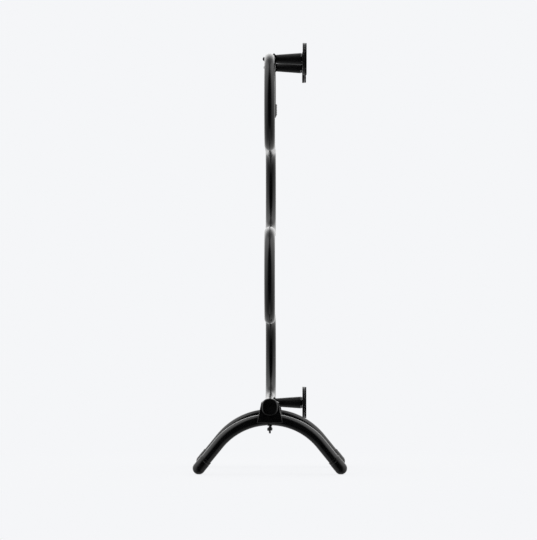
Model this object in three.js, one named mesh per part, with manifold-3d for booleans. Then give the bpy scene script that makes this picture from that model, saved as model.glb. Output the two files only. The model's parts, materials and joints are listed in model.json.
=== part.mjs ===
// A serpentine tube rail that stands on two arched feet and is held off a wall by three
// conical stand-offs. Millimetres, +Z up. X points from the rail to the wall, Y runs along
// the bars (near side -Y, far side +Y), and the origin is on the floor under the rail.

import * as THREE from "three";
import { mergeVertices } from "three/addons/utils/BufferGeometryUtils.js";
import Module from "manifold-3d";

const wasm = await Module();
wasm.setup();

// ---------------------------------------------------------------- driving dimensions

// Clearances that touching pieces keep between them
const FACE_GAP = 0.3;
const BORE_GAP = 0.4;

// Rail: one tube bent to and fro in the YZ plane
const RAIL_DIAMETER = 25;
const RAIL_WALL = 1.5;
const RAIL_WIDTH = 600;
const RUN_COUNT = 5; // odd, so that the top run's free end is on the far side
const RUN_PITCH = 202;
const LOWEST_RUN_HEIGHT = 162;
const DROP_BEND_RADIUS = 80;
const DROP_END_LENGTH = 29;

// Ribbed cap on the turned-down end of the top run
const UPPER_CAP_WALL = 2.45;
const UPPER_CAP_LENGTH = 34;
const UPPER_CAP_FLOOR = 9;
const UPPER_CAP_TAPER = 4;
const UPPER_CAP_RIBS = 4;
const UPPER_CAP_RIB_DEPTH = 0.8;
const UPPER_CAP_RIB_SHARES = { crest: 0.55, grooveStart: 0.65, grooveEnd: 0.9 };

// Plug in the near end of the lowest run: a rounded square head, deeper below the tube than above
const PLUG_SIDE_OVERHANG = 6.4;
const PLUG_TOP_OVERHANG = 3.2;
const PLUG_BOTTOM_OVERHANG = 11.4;
const PLUG_SQUARENESS = 2.6;
const PLUG_THICKNESS = 7;
const PLUG_CHAMFER = 2.4;
const PLUG_SPIGOT_LENGTH = 12;

// Arched feet
const FOOT_SPACING = 330;
const FOOT_DIAMETER = 26.6;
const FOOT_WALL = 1.8;
const FOOT_ARCH_RADIUS = 155;
const FOOT_ARCH_HEIGHT = 127.8;
const FOOT_ARCH_HALF_ANGLE = THREE.MathUtils.degToRad(51);

// Moulded caps on the feet
const FOOT_CAP_WALL = 1.35;
const FOOT_CAP_SLEEVE = 27;
const FOOT_CAP_FLAT_DEPTH = 0.6;
const FOOT_CAP_STOP = 3;

// Saddle brackets that carry the lowest run on the feet; the near one also backs the plug
const SADDLE_END_WALL = 5.7;
const SADDLE_SIDE_WALL = 8.5;
const SADDLE_BASE_FLARE = 8.6;
const SADDLE_TOP_RISE = { near: 7, far: -3 };
const SADDLE_SKIRT = 6.8;

// Stud, threaded insert, washer and wing nut that clamp each foot
const STUD_DIAMETER = 5;
const STUD_TAIL = 19;
const STUD_CHAMFER = 0.8;
const INSERT_WALL = 1.2;
const INSERT_LENGTH = 9;
const INSERT_FLANGE_RIM = 1;
const INSERT_FLANGE_THICKNESS = 0.8;
const WASHER_WALL = 2.7;
const WASHER_SEAT_GAP = 0.5; // wider than a flat face's, as the arch curves down over it
const WASHER_THICKNESS = 1.2;
const NUT_DROP = 5;
const NUT_HEIGHT = 7;
const NUT_TOP_WALL = 1.7;
const NUT_TIP_WALL = 0.9;
const NUT_TOP_CHAMFER = 0.8;
const WING_LOBE_RADIUS = 4.1;
const WING_REACH = 4.7;
const WING_DROOP = 0.3;
const WING_THICKNESS = 2.2;
const WING_REST_ANGLE = THREE.MathUtils.degToRad(66);

// Stand-offs between the rail and the wall
const WALL_DISTANCE = 85.8;
const TOP_STANDOFF_SPACING = 350;
const SADDLE_GASKET_THICKNESS = 3.4;
const SADDLE_GASKET_LENGTH = 20;
const SADDLE_GASKET_HALF_ANGLE = THREE.MathUtils.degToRad(55);
const CONE_RAIL_DIAMETER = 19.6;
const CONE_WALL_DIAMETER = 28.4;
const CONE_POCKET_DEPTH = 24;
const COLLAR_DIAMETER = 27;
const COLLAR_THICKNESS = 2.6;
const FLANGE_DIAMETER = 75;
const FLANGE_THICKNESS = 5.6;
const FLANGE_CHAMFER = 0.4;
const FLANGE_SPIGOT_LENGTH = 12;
const FLANGE_SPIGOT_DIAMETER = 12;
const WALL_PAD_THICKNESS = 3.4;
const SCREW_DIAMETER = 5;
const SCREW_HEAD_RIM = 2.5;
const SCREW_HEAD_HEIGHT = 4;
const HEX_NUT_CORNER_WALL = 1.8;
const HEX_NUT_THICKNESS = 4;
const SCREW_PAST_NUT = 3;

// How far two shapes reach into each other where they are joined into one piece
const JOIN_OVERLAP = 1;

// Facets round a circle
const TUBE_SIDES = 16;
const TURNED_SIDES = 24;
const SMALL_SIDES = 12;

// Stations round a half turn of the rail, and round the arch of a foot
const BEND_STEPS = 12;
const ARCH_STEPS = 16;

// ---------------------------------------------------------------- derived sizes

const railRadius = RAIL_DIAMETER / 2;
const bendRadius = RUN_PITCH / 2;
const apexY = RAIL_WIDTH / 2 - railRadius;
const bendCentreY = apexY - bendRadius;
const upperCapRadius = railRadius + FACE_GAP + UPPER_CAP_WALL;
const dropY = RAIL_WIDTH / 2 - upperCapRadius;
const plugHalfWidth = railRadius + PLUG_SIDE_OVERHANG;
const plugHalfHeight = railRadius + (PLUG_TOP_OVERHANG + PLUG_BOTTOM_OVERHANG) / 2;
const plugRise = (PLUG_TOP_OVERHANG - PLUG_BOTTOM_OVERHANG) / 2;
const footRadius = FOOT_DIAMETER / 2;
const footY = FOOT_SPACING / 2;
const footCapRadius = footRadius + FOOT_CAP_WALL;
const saddleDepth = FOOT_DIAMETER + 2 * SADDLE_END_WALL;
const saddleHalfAxis = railRadius + BORE_GAP + SADDLE_SIDE_WALL;
const saddleHalfBase = saddleHalfAxis + SADDLE_BASE_FLARE;
const railEndY = footY + saddleDepth / 2 + FACE_GAP;
const gasketInner = railRadius + FACE_GAP;
const gasketOuter = gasketInner + SADDLE_GASKET_THICKNESS;
const studRadius = STUD_DIAMETER / 2;
const studHole = studRadius + BORE_GAP;
const studBore = studRadius + FACE_GAP;
const insertRadius = studBore + INSERT_WALL;
const insertFlangeRadius = insertRadius + INSERT_FLANGE_RIM;
const nutTopRadius = studBore + NUT_TOP_WALL;
const nutTipRadius = studBore + NUT_TIP_WALL;
const screwRadius = SCREW_DIAMETER / 2;
const screwHole = screwRadius + BORE_GAP;
const spigotRadius = FLANGE_SPIGOT_DIAMETER / 2;
const flangeRadius = FLANGE_DIAMETER / 2;
const padX = WALL_DISTANCE - WALL_PAD_THICKNESS;
const flangeX = padX - FACE_GAP - FLANGE_THICKNESS;
const collarX = flangeX - FACE_GAP - COLLAR_THICKNESS;
const coneEndX = collarX - FACE_GAP;
const pocketX = coneEndX - CONE_POCKET_DEPTH;
const hexNutX = pocketX + FACE_GAP;

// Runs are numbered from the top
const runHeight = (run) => LOWEST_RUN_HEIGHT + (RUN_COUNT - run) * RUN_PITCH;

const standoffs = [
  { name: "top_near", y: -TOP_STANDOFF_SPACING / 2, run: 1 },
  { name: "top_far", y: TOP_STANDOFF_SPACING / 2, run: 1 },
  { name: "bottom", y: 0, run: RUN_COUNT },
];

// ---------------------------------------------------------------- materials

function finish(color, roughness, metalness) {
  return new THREE.MeshStandardMaterial({ color, roughness, metalness });
}

const glossBlack = finish(0x101112, 0.18, 0.1);
const mouldedBlack = finish(0x0a0a0b, 0.55, 0);
const rubberBlack = finish(0x121212, 0.8, 0);
const darkSteel = finish(0x2a2b2d, 0.4, 0.9);
const brightSteel = finish(0x9a9c9f, 0.35, 1);
const satinBlack = finish(0x0b0b0c, 0.4, 0.1);

// ---------------------------------------------------------------- geometry helpers

// The closed solid of a three.js geometry, with its faces turned outward
function solidOf(geometry) {
  const bare = geometry.clone();
  bare.deleteAttribute("normal");
  bare.deleteAttribute("uv");
  const merged = mergeVertices(bare, 1e-4);
  const corners = merged.index.array;
  const place = merged.attributes.position;
  const triangles = [];
  const a = new THREE.Vector3();
  const b = new THREE.Vector3();
  const c = new THREE.Vector3();
  let volume = 0;
  for (let i = 0; i < corners.length; i += 3) {
    const [p, q, r] = corners.slice(i, i + 3);
    if (p === q || q === r || r === p) continue;
    triangles.push([p, q, r]);
    a.fromBufferAttribute(place, p);
    b.fromBufferAttribute(place, q);
    c.fromBufferAttribute(place, r);
    volume += a.dot(b.cross(c));
  }
  const outward = volume > 0 ? triangles : triangles.map(([p, q, r]) => [p, r, q]);
  return new wasm.Manifold(
    new wasm.Mesh({
      numProp: 3,
      vertProperties: new Float32Array(place.array),
      triVerts: new Uint32Array(outward.flat()),
    }),
  );
}

function meshOf(name, solid, material) {
  const { numProp, vertProperties, triVerts } = solid.getMesh();
  const places = new THREE.InterleavedBuffer(vertProperties, numProp);
  const geometry = new THREE.BufferGeometry();
  geometry.setAttribute("position", new THREE.InterleavedBufferAttribute(places, 3, 0));
  geometry.setIndex(new THREE.BufferAttribute(triVerts, 1));
  const mesh = new THREE.Mesh(geometry.toNonIndexed(), material);
  mesh.geometry.computeVertexNormals();
  mesh.name = name;
  return mesh;
}

// A body of revolution from [radius, height] points, its axis laid along x, y or z
function turned(profile, axis, sides = TURNED_SIDES) {
  const points = profile.map(([radius, height]) => new THREE.Vector2(radius, height));
  const geometry = new THREE.LatheGeometry(points, sides);
  if (axis === "x") geometry.rotateZ(-Math.PI / 2);
  if (axis === "z") geometry.rotateX(Math.PI / 2);
  return solidOf(geometry);
}

// A plain round bar between two stations on an axis
function bar(radius, from, to, axis, sides = TURNED_SIDES) {
  return turned([[0, from], [radius, from], [radius, to], [0, to]], axis, sides);
}

// A ring or sleeve between two stations on an axis
function sleeve(inner, outer, from, to, axis, sides = TURNED_SIDES) {
  const profile = [[inner, from], [outer, from], [outer, to], [inner, to], [inner, from]];
  return turned(profile, axis, sides);
}

// Points on an arc in a [radius, height] profile
function arcPoints(centre, radius, from, to, steps) {
  return Array.from({ length: steps + 1 }, (_, step) => {
    const angle = from + ((to - from) * step) / steps;
    return [centre[0] + radius * Math.cos(angle), centre[1] + radius * Math.sin(angle)];
  });
}

// An outline in the XZ plane, made thick along Y about a middle
function plateAcrossY(shape, depth, middle) {
  const geometry = new THREE.ExtrudeGeometry(shape, {
    depth,
    bevelEnabled: false,
    curveSegments: TURNED_SIDES / 4,
  });
  geometry.rotateX(Math.PI / 2);
  geometry.translate(0, middle + depth / 2, 0);
  return solidOf(geometry);
}

// A path of straight lines and bends in one plane, with stations only where it turns
class BentPath extends THREE.Curve {
  constructor(toPoint) {
    super();
    this.toPoint = toPoint;
    this.stations = [];
  }

  station(across, up, heading) {
    const ahead = this.toPoint(Math.cos(heading), Math.sin(heading));
    this.stations.push({ place: this.toPoint(across, up), ahead });
    return this;
  }

  // Turns about a centre: angles as seen in the plane, anticlockwise when to > from
  bend(across, up, radius, from, to, steps) {
    const side = Math.sign(to - from);
    for (let step = 0; step <= steps; step += 1) {
      const angle = from + ((to - from) * step) / steps;
      const heading = angle + (side * Math.PI) / 2;
      this.station(across + radius * Math.cos(angle), up + radius * Math.sin(angle), heading);
    }
    return this;
  }

  getUtoTmapping(u) {
    return u;
  }

  stationAt(t) {
    return this.stations[Math.round(t * (this.stations.length - 1))];
  }

  getPoint(t, target = new THREE.Vector3()) {
    return target.copy(this.stationAt(t).place);
  }

  getTangent(t, target = new THREE.Vector3()) {
    return target.copy(this.stationAt(t).ahead);
  }
}

// A tube, or with no wall a solid bar, along a bent path
function tubeAlong(path, radius, wall, sides = TUBE_SIDES) {
  const section = new THREE.Shape().absarc(0, 0, radius, 0, 2 * Math.PI);
  if (wall) section.holes.push(new THREE.Path().absarc(0, 0, radius - wall, 0, 2 * Math.PI));
  const geometry = new THREE.ExtrudeGeometry(section, {
    extrudePath: path,
    steps: path.stations.length - 1,
    curveSegments: sides / 2,
    bevelEnabled: false,
  });
  return solidOf(geometry);
}

// ---------------------------------------------------------------- rail

function railPath() {
  const path = new BentPath((y, z) => new THREE.Vector3(0, y, z));
  path.station(-railEndY, runHeight(RUN_COUNT), 0);
  for (let run = RUN_COUNT; run > 1; run -= 1) {
    const side = (RUN_COUNT - run) % 2 === 0 ? 1 : -1;
    const middle = runHeight(run) + bendRadius;
    const start = -Math.PI / 2;
    const end = start + side * Math.PI;
    path.bend(side * bendCentreY, middle, bendRadius, start, end, BEND_STEPS);
  }
  const dropCentreY = dropY - DROP_BEND_RADIUS;
  const dropCentreZ = runHeight(1) - DROP_BEND_RADIUS;
  path.bend(dropCentreY, dropCentreZ, DROP_BEND_RADIUS, Math.PI / 2, 0, BEND_STEPS / 2);
  path.station(dropY, dropCentreZ - DROP_END_LENGTH, -Math.PI / 2);
  return path;
}

function railTube() {
  let tube = tubeAlong(railPath(), railRadius, RAIL_WALL);
  for (const { y, run } of standoffs) {
    const hole = bar(screwHole, -RAIL_DIAMETER, RAIL_DIAMETER, "x", SMALL_SIDES);
    tube = tube.subtract(hole.translate([0, y, runHeight(run)]));
  }
  for (const y of [-footY, footY]) {
    const hole = bar(insertRadius + BORE_GAP, -RAIL_DIAMETER, 0, "z", SMALL_SIDES);
    tube = tube.subtract(hole.translate([0, y, runHeight(RUN_COUNT)]));
  }
  return tube;
}

function upperEndCap() {
  const radius = upperCapRadius;
  const socket = railRadius + FACE_GAP;
  const { crest, grooveStart, grooveEnd } = UPPER_CAP_RIB_SHARES;
  const ribPitch = (UPPER_CAP_LENGTH - UPPER_CAP_FLOOR) / UPPER_CAP_RIBS;
  const profile = [
    [0, 0],
    [radius - UPPER_CAP_TAPER, 0],
    [radius, UPPER_CAP_FLOOR],
  ];
  for (let rib = 0; rib < UPPER_CAP_RIBS; rib += 1) {
    const foot = UPPER_CAP_FLOOR + rib * ribPitch;
    profile.push([radius, foot + crest * ribPitch]);
    profile.push([radius - UPPER_CAP_RIB_DEPTH, foot + grooveStart * ribPitch]);
    profile.push([radius - UPPER_CAP_RIB_DEPTH, foot + grooveEnd * ribPitch]);
    if (rib < UPPER_CAP_RIBS - 1) profile.push([radius, foot + ribPitch]);
  }
  profile.push([radius - UPPER_CAP_RIB_DEPTH, UPPER_CAP_LENGTH]);
  profile.push([socket, UPPER_CAP_LENGTH]);
  profile.push([socket, UPPER_CAP_FLOOR]);
  profile.push([0, UPPER_CAP_FLOOR]);
  const tubeEnd = runHeight(1) - DROP_BEND_RADIUS - DROP_END_LENGTH;
  const base = tubeEnd - FACE_GAP - UPPER_CAP_FLOOR;
  return turned(profile, "z").translate([0, dropY, base]);
}

// The point of a rounded rectangle's outline at an angle, about its own middle
function squareRoundPoint(halfWidth, halfHeight, angle) {
  const cos = Math.cos(angle);
  const sin = Math.sin(angle);
  const power = 2 / PLUG_SQUARENESS;
  return new THREE.Vector2(
    halfWidth * Math.sign(cos) * Math.abs(cos) ** power,
    halfHeight * Math.sign(sin) * Math.abs(sin) ** power,
  );
}

function plugOutline(inset) {
  const halfWidth = plugHalfWidth - inset;
  const halfHeight = plugHalfHeight - inset;
  const corners = Array.from({ length: TURNED_SIDES }, (_, corner) =>
    squareRoundPoint(halfWidth, halfHeight, (2 * Math.PI * corner) / TURNED_SIDES),
  );
  return new THREE.Shape(corners);
}

function lowerEndPlug() {
  const backY = -railEndY - FACE_GAP;
  const spigotRadius = railRadius - RAIL_WALL - FACE_GAP;
  const rimThickness = PLUG_THICKNESS - PLUG_CHAMFER;
  const rim = plateAcrossY(plugOutline(0), rimThickness, backY - rimThickness / 2);
  const face = plateAcrossY(plugOutline(PLUG_CHAMFER), PLUG_THICKNESS, backY - PLUG_THICKNESS / 2);
  const head = wasm.Manifold.hull([rim, face]);
  const spigot = bar(spigotRadius, backY - JOIN_OVERLAP, backY + PLUG_SPIGOT_LENGTH, "y");
  return head.translate([0, 0, plugRise]).add(spigot).translate([0, 0, runHeight(RUN_COUNT)]);
}

// ---------------------------------------------------------------- feet

// The foot's centre line, from the arch's near end of the angle range to its far end
function archPath(halfAngle, steps) {
  const path = new BentPath((x, z) => new THREE.Vector3(x, 0, z));
  const centreZ = FOOT_ARCH_HEIGHT - FOOT_ARCH_RADIUS;
  const top = Math.PI / 2;
  return path.bend(0, centreZ, FOOT_ARCH_RADIUS, top + halfAngle, top - halfAngle, steps);
}

// Where the middle of a cap's round end is, on the +X leg
function capCentre() {
  const centreZ = FOOT_ARCH_HEIGHT - FOOT_ARCH_RADIUS;
  const kneeX = FOOT_ARCH_RADIUS * Math.sin(FOOT_ARCH_HALF_ANGLE);
  const kneeZ = centreZ + FOOT_ARCH_RADIUS * Math.cos(FOOT_ARCH_HALF_ANGLE);
  const z = footCapRadius - FOOT_CAP_FLAT_DEPTH;
  return { x: kneeX + (kneeZ - z) / Math.tan(FOOT_ARCH_HALF_ANGLE), z };
}

function footTube() {
  const end = capCentre();
  const reach = FOOT_CAP_STOP + FACE_GAP;
  const endX = end.x - reach * Math.cos(FOOT_ARCH_HALF_ANGLE);
  const endZ = end.z + reach * Math.sin(FOOT_ARCH_HALF_ANGLE);
  const arch = archPath(FOOT_ARCH_HALF_ANGLE, ARCH_STEPS);
  const path = new BentPath(arch.toPoint);
  path.station(-endX, endZ, FOOT_ARCH_HALF_ANGLE);
  path.stations.push(...arch.stations);
  path.station(endX, endZ, -FOOT_ARCH_HALF_ANGLE);
  const hole = bar(studHole, -FOOT_DIAMETER, FOOT_DIAMETER, "z", SMALL_SIDES);
  return tubeAlong(path, footRadius, FOOT_WALL).subtract(hole.translate([0, 0, FOOT_ARCH_HEIGHT]));
}

// side is -1 for the cap on the -X leg and 1 for the cap on the +X leg
function footCap(side) {
  const socket = footRadius + FACE_GAP;
  const profile = [
    [0, -FOOT_CAP_STOP],
    [socket, -FOOT_CAP_STOP],
    [socket, -FOOT_CAP_SLEEVE],
    [footCapRadius, -FOOT_CAP_SLEEVE],
    ...arcPoints([0, 0], footCapRadius, 0, Math.PI / 2, TURNED_SIDES / 4),
  ];
  profile[profile.length - 1][0] = 0;
  const centre = capCentre();
  const tilt = 90 + THREE.MathUtils.radToDeg(FOOT_ARCH_HALF_ANGLE);
  const cap = turned(profile, "z")
    .rotate([0, side * tilt, 0])
    .translate([side * centre.x, 0, centre.z]);
  const span = 4 * FOOT_CAP_SLEEVE;
  const aboveFloor = new THREE.BoxGeometry(span, span, span).translate(side * centre.x, 0, span / 2);
  return cap.intersect(solidOf(aboveFloor));
}

function saddleBracket(topRise) {
  const axis = runHeight(RUN_COUNT);
  const base = FOOT_ARCH_HEIGHT - SADDLE_SKIRT;
  const halfTop = saddleHalfAxis - (topRise * SADDLE_BASE_FLARE) / (axis - base);
  const outline = new THREE.Shape();
  outline.moveTo(-saddleHalfBase, base);
  outline.lineTo(saddleHalfBase, base);
  outline.lineTo(halfTop, axis + topRise);
  outline.lineTo(-halfTop, axis + topRise);
  outline.closePath();

  const block = plateAcrossY(outline, saddleDepth, 0);
  const railBore = bar(railRadius + BORE_GAP, -saddleDepth, saddleDepth, "y");
  const archGroove = tubeAlong(
    archPath(FOOT_ARCH_HALF_ANGLE / 2, ARCH_STEPS / 2),
    footRadius + BORE_GAP,
    0,
    TURNED_SIDES,
  );
  const studClearance = bar(studHole, base, axis, "z", SMALL_SIDES);
  const flangeSeat = axis - railRadius - FACE_GAP - INSERT_FLANGE_THICKNESS - FACE_GAP;
  const insertPocket = bar(insertFlangeRadius + BORE_GAP, flangeSeat, axis, "z", SMALL_SIDES);
  return block
    .subtract(railBore.translate([0, 0, axis]))
    .subtract(archGroove)
    .subtract(studClearance)
    .subtract(insertPocket);
}

// ---------------------------------------------------------------- stud, insert, washer, nut

const archUnderside = FOOT_ARCH_HEIGHT - footRadius;
const nutTop = archUnderside - NUT_DROP;
const studTip = archUnderside - STUD_TAIL;

function threadedInsert() {
  const flangeTop = runHeight(RUN_COUNT) - railRadius - FACE_GAP;
  const flangeBase = flangeTop - INSERT_FLANGE_THICKNESS;
  const profile = [
    [studBore, flangeBase],
    [insertFlangeRadius, flangeBase],
    [insertFlangeRadius, flangeTop],
    [insertRadius, flangeTop],
    [insertRadius, flangeBase + INSERT_LENGTH],
    [studBore, flangeBase + INSERT_LENGTH],
    [studBore, flangeBase],
  ];
  return turned(profile, "z", SMALL_SIDES);
}

function stud() {
  const top = runHeight(RUN_COUNT) - railRadius + INSERT_LENGTH - 2 * INSERT_FLANGE_THICKNESS;
  const profile = [
    [0, studTip],
    [studRadius - STUD_CHAMFER, studTip],
    [studRadius, studTip + STUD_CHAMFER],
    [studRadius, top],
    [0, top],
  ];
  return turned(profile, "z", SMALL_SIDES);
}

function studWasher() {
  const top = archUnderside - WASHER_SEAT_GAP;
  return sleeve(studBore, studBore + WASHER_WALL, top - WASHER_THICKNESS, top, "z");
}

// The nut with its top face at height 0 and its wings in the XZ plane
function wingNut() {
  const hub = turned(
    [
      [0, -NUT_HEIGHT],
      [nutTipRadius, -NUT_HEIGHT],
      [nutTopRadius, -NUT_TOP_CHAMFER],
      [nutTopRadius - NUT_TOP_CHAMFER, 0],
      [0, 0],
    ],
    "z",
    SMALL_SIDES,
  );
  const lobeX = nutTopRadius + WING_REACH;
  const lobeZ = -NUT_HEIGHT / 2 - WING_DROOP;
  const wing = new THREE.Shape();
  wing.moveTo(0, -NUT_TOP_CHAMFER);
  wing.lineTo(lobeX, lobeZ + WING_LOBE_RADIUS);
  wing.absarc(lobeX, lobeZ, WING_LOBE_RADIUS, Math.PI / 2, -Math.PI / 2, true);
  wing.lineTo(0, NUT_TOP_CHAMFER - NUT_HEIGHT);
  wing.closePath();
  const wingPlate = plateAcrossY(wing, WING_THICKNESS, 0);
  return hub
    .add(wingPlate)
    .add(wingPlate.mirror([1, 0, 0]))
    .subtract(bar(studBore, -2 * NUT_HEIGHT, NUT_HEIGHT, "z", SMALL_SIDES));
}

// ---------------------------------------------------------------- stand-offs, on the rail's axis

function saddleGasket() {
  const half = SADDLE_GASKET_HALF_ANGLE;
  const outline = new THREE.Shape();
  outline.absarc(0, 0, gasketOuter, -half, half);
  outline.absarc(0, 0, gasketInner, half, -half, true);
  outline.closePath();
  const hole = bar(screwHole, 0, RAIL_DIAMETER, "x", SMALL_SIDES);
  return plateAcrossY(outline, SADDLE_GASKET_LENGTH, 0).subtract(hole);
}

function cone() {
  const pocketRadius = spigotRadius + FACE_GAP;
  const railEndX = gasketInner / 2;
  const profile = [
    [screwHole, railEndX],
    [CONE_RAIL_DIAMETER / 2, railEndX],
    [CONE_RAIL_DIAMETER / 2, gasketOuter],
    [CONE_WALL_DIAMETER / 2, coneEndX],
    [pocketRadius, coneEndX],
    [pocketRadius, pocketX],
    [screwHole, pocketX],
    [screwHole, railEndX],
  ];
  const railSeat = bar(gasketOuter + BORE_GAP, -RAIL_DIAMETER, RAIL_DIAMETER, "y");
  return turned(profile, "x").subtract(railSeat);
}

function throughScrew() {
  const headBase = -railRadius - FACE_GAP;
  const tipX = hexNutX + HEX_NUT_THICKNESS + SCREW_PAST_NUT;
  const headRadius = screwRadius + SCREW_HEAD_RIM;
  const dome = arcPoints([0, 0], 1, Math.PI, Math.PI / 2, SMALL_SIDES / 4).map(([across, up]) => [
    headRadius * up,
    headBase - SCREW_HEAD_HEIGHT * -across,
  ]);
  dome[0][0] = 0;
  const profile = [...dome, [screwRadius, headBase], [screwRadius, tipX], [0, tipX]];
  return turned(profile, "x", SMALL_SIDES);
}

function hexNut() {
  const bore = screwRadius + FACE_GAP;
  const cornerRadius = bore + HEX_NUT_CORNER_WALL;
  const hexagon = bar(cornerRadius, hexNutX, hexNutX + HEX_NUT_THICKNESS, "x", 6);
  return hexagon.subtract(bar(bore, 0, WALL_DISTANCE, "x", SMALL_SIDES));
}

function collar() {
  const bore = spigotRadius + FACE_GAP;
  return sleeve(bore, COLLAR_DIAMETER / 2, collarX, collarX + COLLAR_THICKNESS, "x");
}

function flangePlate() {
  const profile = [
    [0, flangeX - FLANGE_SPIGOT_LENGTH],
    [spigotRadius, flangeX - FLANGE_SPIGOT_LENGTH],
    [spigotRadius, flangeX],
    [flangeRadius - FLANGE_CHAMFER, flangeX],
    [flangeRadius, flangeX + FLANGE_CHAMFER],
    [flangeRadius, flangeX + FLANGE_THICKNESS],
    [0, flangeX + FLANGE_THICKNESS],
  ];
  return turned(profile, "x");
}

function wallPad() {
  return bar(flangeRadius, padX, WALL_DISTANCE, "x");
}

// ---------------------------------------------------------------- assembly

function footAssembly(place, turn, leftCap, rightCap) {
  const foot = new THREE.Group();
  const nut = meshOf(`${place}_wing_nut`, wingNut(), darkSteel);
  nut.position.z = nutTop;
  nut.rotation.z = WING_REST_ANGLE;
  foot.add(
    meshOf(`${place}_foot_tube`, footTube(), glossBlack),
    meshOf(`${leftCap}_foot_cap`, footCap(-1), mouldedBlack),
    meshOf(`${rightCap}_foot_cap`, footCap(1), mouldedBlack),
    meshOf(`${place}_saddle_bracket`, saddleBracket(SADDLE_TOP_RISE[place]), mouldedBlack),
    meshOf(`${place}_threaded_insert`, threadedInsert(), brightSteel),
    meshOf(`${place}_stud`, stud(), darkSteel),
    meshOf(`${place}_stud_washer`, studWasher(), darkSteel),
    nut,
  );
  foot.position.y = place === "near" ? -footY : footY;
  foot.rotation.z = turn;
  return foot;
}

function standoffAssembly({ name, y, run }) {
  const standoff = new THREE.Group();
  standoff.add(
    meshOf(`${name}_saddle_gasket`, saddleGasket(), rubberBlack),
    meshOf(`${name}_cone`, cone(), satinBlack),
    meshOf(`${name}_through_screw`, throughScrew(), darkSteel),
    meshOf(`${name}_hex_nut`, hexNut(), brightSteel),
    meshOf(`${name}_collar`, collar(), darkSteel),
    meshOf(`${name}_flange_plate`, flangePlate(), satinBlack),
    meshOf(`${name}_wall_pad`, wallPad(), rubberBlack),
  );
  standoff.position.set(0, y, runHeight(run));
  return standoff;
}

const towelRail = new THREE.Group();
towelRail.add(
  meshOf("rail_tube", railTube(), glossBlack),
  meshOf("upper_end_cap", upperEndCap(), mouldedBlack),
  meshOf("lower_end_plug", lowerEndPlug(), mouldedBlack),
  footAssembly("near", 0, "near_left", "near_right"),
  footAssembly("far", Math.PI, "far_right", "far_left"),
  ...standoffs.map(standoffAssembly),
);

export default towelRail;
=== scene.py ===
"""The looks of a serpentine towel rail on two arched feet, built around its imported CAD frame.

Metres, +Z up. X points from the rail to the wall, Y runs along the bars (near side -Y).
"""

import json
import math

import bmesh
import bpy
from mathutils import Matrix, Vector

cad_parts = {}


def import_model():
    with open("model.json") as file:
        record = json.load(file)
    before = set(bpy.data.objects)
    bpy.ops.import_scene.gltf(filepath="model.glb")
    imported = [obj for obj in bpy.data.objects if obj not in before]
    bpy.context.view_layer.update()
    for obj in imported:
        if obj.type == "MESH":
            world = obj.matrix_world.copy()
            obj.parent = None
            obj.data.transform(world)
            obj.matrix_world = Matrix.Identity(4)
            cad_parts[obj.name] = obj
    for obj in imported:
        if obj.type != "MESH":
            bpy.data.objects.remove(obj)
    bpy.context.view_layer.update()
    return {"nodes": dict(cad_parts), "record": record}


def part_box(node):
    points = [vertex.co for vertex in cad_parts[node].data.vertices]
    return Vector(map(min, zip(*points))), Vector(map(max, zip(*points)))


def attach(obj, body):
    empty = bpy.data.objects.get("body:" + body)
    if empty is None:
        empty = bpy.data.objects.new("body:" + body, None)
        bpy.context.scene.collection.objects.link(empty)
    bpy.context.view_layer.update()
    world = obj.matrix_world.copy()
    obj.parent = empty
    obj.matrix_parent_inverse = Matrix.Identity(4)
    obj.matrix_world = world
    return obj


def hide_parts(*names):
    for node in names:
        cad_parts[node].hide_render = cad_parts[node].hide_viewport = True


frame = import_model()

MM = 0.001
NODES = frame["nodes"]
FOOT_PLACES = ("near", "far")
STANDOFFS = ("top_near", "top_far", "bottom")

# ------------------------------------------------------------------ sizes that boxes don't give

RUN_COUNT = 5
DROP_BEND_RADIUS = 80 * MM
UPPER_CAP_FLOOR = 9 * MM
UPPER_CAP_RIBS = 6
UPPER_CAP_GROOVE = 0.8 * MM
UPPER_CAP_NOSE = 4 * MM
PLUG_SQUARENESS = 2.6
PLUG_THICKNESS = 7 * MM
PLUG_EDGE = 4 * MM
PLUG_DISH = 0.5 * MM
RAIL_WALL = 1.5 * MM
ARCH_RADIUS = 155 * MM
ARCH_HALF_ANGLE = math.radians(51)
SADDLE_HALF_WIDTH = 21.4 * MM  # at the height of the rail's axis
SADDLE_EDGE = 1.5 * MM
CONE_RAIL_RADIUS = 9.8 * MM
GASKET_HALF_ANGLE = math.radians(55)
FLANGE_THICKNESS = 5.6 * MM
FACE_GAP = 0.3 * MM
BORE_GAP = 0.4 * MM
THREAD_PITCH = 0.8 * MM
THREAD_DEPTH = 0.45 * MM
THREAD_ROWS_PER_TURN = 6
THREAD_CHAMFER = 1.0 * MM
WING_REST_ANGLE = math.radians(66)
WING_HUB_HEIGHT = 7 * MM
WING_HUB_FOOT_RADIUS = 3.7 * MM
WING_HUB_WAIST_RADIUS = 4.5 * MM
WING_HUB_TOP_RADIUS = 3.9 * MM
WING_LOBE_RADIUS = 4.1 * MM
WING_LOBE_REACH = 9.2 * MM
WING_HALF_THICKNESS = 1.1 * MM
WING_INSET = 0.8 * MM
WING_CAST_DETAIL = 0.22 * MM
SCREW_HEAD_HEIGHT = 4 * MM
SCREW_SHANK_RADIUS = 2.5 * MM
SOCKET_HALF_WIDTH = 1.7 * MM
SOCKET_DEPTH = 3 * MM
CONE_EDGE = 0.8 * MM
COLLAR_BORE_RADIUS = 6.3 * MM
FLANGE_SPIGOT_RADIUS = 6 * MM
PAD_RIM_INSET = 0.5 * MM
PAD_RING_DEPTH = 0.5 * MM
PAD_RING_SHARES = (0.85, 0.6, 0.35)

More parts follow.
